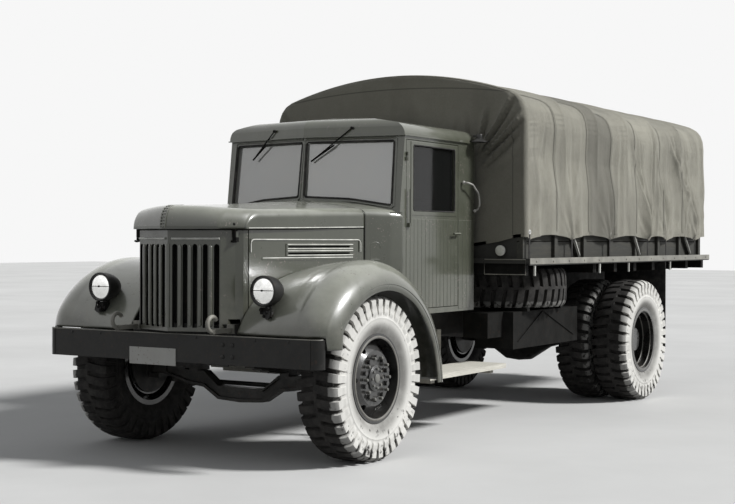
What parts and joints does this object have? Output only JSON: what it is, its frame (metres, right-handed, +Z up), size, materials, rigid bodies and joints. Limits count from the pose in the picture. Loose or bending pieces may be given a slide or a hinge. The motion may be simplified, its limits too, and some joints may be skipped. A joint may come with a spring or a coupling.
{
  "type": "military cargo truck",
  "caption": "Bonneted army cargo truck with a planked cab, rounded fenders, twin rear wheels and a canvas cover on hoops over the load bed.",
  "frame": {"origin": "on the ground under the middle of the truck's length and width", "axes": "+Z up, -Y towards the front bumper, +X towards the driver's left"},
  "size_m": [2.61, 7.4568, 2.8619],
  "materials": {
    "body_paint": "satin",
    "roof_paint": "satin",
    "chassis_black": "satin",
    "engine_grey": "matte",
    "tyre_rubber": "matte",
    "wheel_paint": "satin",
    "glass": "clear",
    "canvas": "woven",
    "bed_wood": "painted",
    "hoop_steel": "satin",
    "seat_cloth": "worn",
    "plate_white": "satin",
    "flap_rubber": "matte",
    "lamp": "satin"
  },
  "bodies": {
    "chassis": {"bed_beams": "bed_wood", "bed_floor": "bed_wood", "bed_front": "bed_wood", "bed_sides": "bed_wood", "cab_glass": "glass", "cab_handles": "chassis_black", "cab_roof": "roof_paint", "cab_shell": "body_paint", "canvas_cover": "canvas", "cowl": "body_paint", "dashboard": "chassis_black", "drive_shaft": "chassis_black", "engine": "engine_grey", "fender_left": "body_paint", "fender_right": "body_paint", "frame_rails": "chassis_black", "front_axle_beam": "chassis_black", "front_bumper": "chassis_black", "fuel_tank": "chassis_black", "grille_shell": "body_paint", "headlamps": "lamp", "hood_sides": "body_paint", "hoops": "hoop_steel", "lamp_lenses": "glass", "leaf_springs": "chassis_black", "mud_flaps": "flap_rubber", "number_plate": "plate_white", "radiator": "chassis_black", "rear_axle": "chassis_black", "seat": "seat_cloth", "side_locker": "chassis_black", "spare_carrier": "chassis_black", "spare_rim": "wheel_paint", "spare_tyre": "tyre_rubber", "steering_wheel": "chassis_black", "step_boards": "bed_wood", "tow_eye": "chassis_black", "tow_hooks": "chassis_black"},
    "knuckle_left": {"knuckle_left": "chassis_black"},
    "front_wheel_left": {"front_tyre_left": "tyre_rubber", "front_wheel_left": "wheel_paint"},
    "rear_wheels_left": {"rear_tyres_left": "tyre_rubber", "rear_wheel_left": "wheel_paint"},
    "door_left": {"door_left": "body_paint", "door_glass_left": "glass"},
    "knuckle_right": {"knuckle_right": "chassis_black"},
    "front_wheel_right": {"front_tyre_right": "tyre_rubber", "front_wheel_right": "wheel_paint"},
    "rear_wheels_right": {"rear_tyres_right": "tyre_rubber", "rear_wheel_right": "wheel_paint"},
    "door_right": {"door_right": "body_paint", "door_glass_right": "glass"},
    "tie_rod": {"tie_rod": "chassis_black"},
    "hood": {"hood_top": "body_paint"},
    "tailgate": {"tailgate": "bed_wood"}
  },
  "joints": [
    {"name": "steer_left", "type": "hinge", "parent": "chassis", "child": "knuckle_left", "pos_m": [0.79, -2.7905, 0.56], "axis": [0, 0, 1], "range_deg": [-30, 30]},
    {"name": "steer_right", "type": "hinge", "parent": "chassis", "child": "knuckle_right", "pos_m": [-0.79, -2.7905, 0.56], "axis": [0, 0, 1], "range_deg": [-30, 30]},
    {"name": "tie_rod_pivot", "type": "hinge", "parent": "knuckle_left", "child": "tie_rod", "pos_m": [0.79, -2.5905, 0.438], "axis": [0, 0, 1], "range_deg": [-30, 30]},
    {"name": "front_wheel_left_spin", "type": "hinge", "parent": "knuckle_left", "child": "front_wheel_left", "pos_m": [0.98, -2.7905, 0.56], "axis": [1, 0, 0], "continuous": true},
    {"name": "front_wheel_right_spin", "type": "hinge", "parent": "knuckle_right", "child": "front_wheel_right", "pos_m": [-0.98, -2.7905, 0.56], "axis": [1, 0, 0], "continuous": true},
    {"name": "rear_wheels_left_spin", "type": "hinge", "parent": "chassis", "child": "rear_wheels_left", "pos_m": [0.96, 1.7295, 0.56], "axis": [1, 0, 0], "continuous": true},
    {"name": "rear_wheels_right_spin", "type": "hinge", "parent": "chassis", "child": "rear_wheels_right", "pos_m": [-0.96, 1.7295, 0.56], "axis": [1, 0, 0], "continuous": true},
    {"name": "door_left_hinge", "type": "hinge", "parent": "chassis", "child": "door_left", "pos_m": [0.806, -1.8685, 1.6], "axis": [0, 0, -1], "range_deg": [0, 68]},
    {"name": "door_right_hinge", "type": "hinge", "parent": "chassis", "child": "door_right", "pos_m": [-0.806, -1.8685, 1.6], "axis": [0, 0, 1], "range_deg": [0, 68]},
    {"name": "hood_hinge", "type": "hinge", "parent": "chassis", "child": "hood", "pos_m": [0, -2.1925, 1.766], "axis": [-1, 0, 0], "range_deg": [0, 50]},
    {"name": "tailgate_hinge", "type": "hinge", "parent": "chassis", "child": "tailgate", "pos_m": [0, 3.7045, 1.346], "axis": [-1, 0, 0], "range_deg": [0, 170]}
  ],
  "couplings": [
    {"joint": "steer_right", "follows": "steer_left", "ratio": 1},
    {"joint": "tie_rod_pivot", "follows": "steer_left", "ratio": -1}
  ]
}
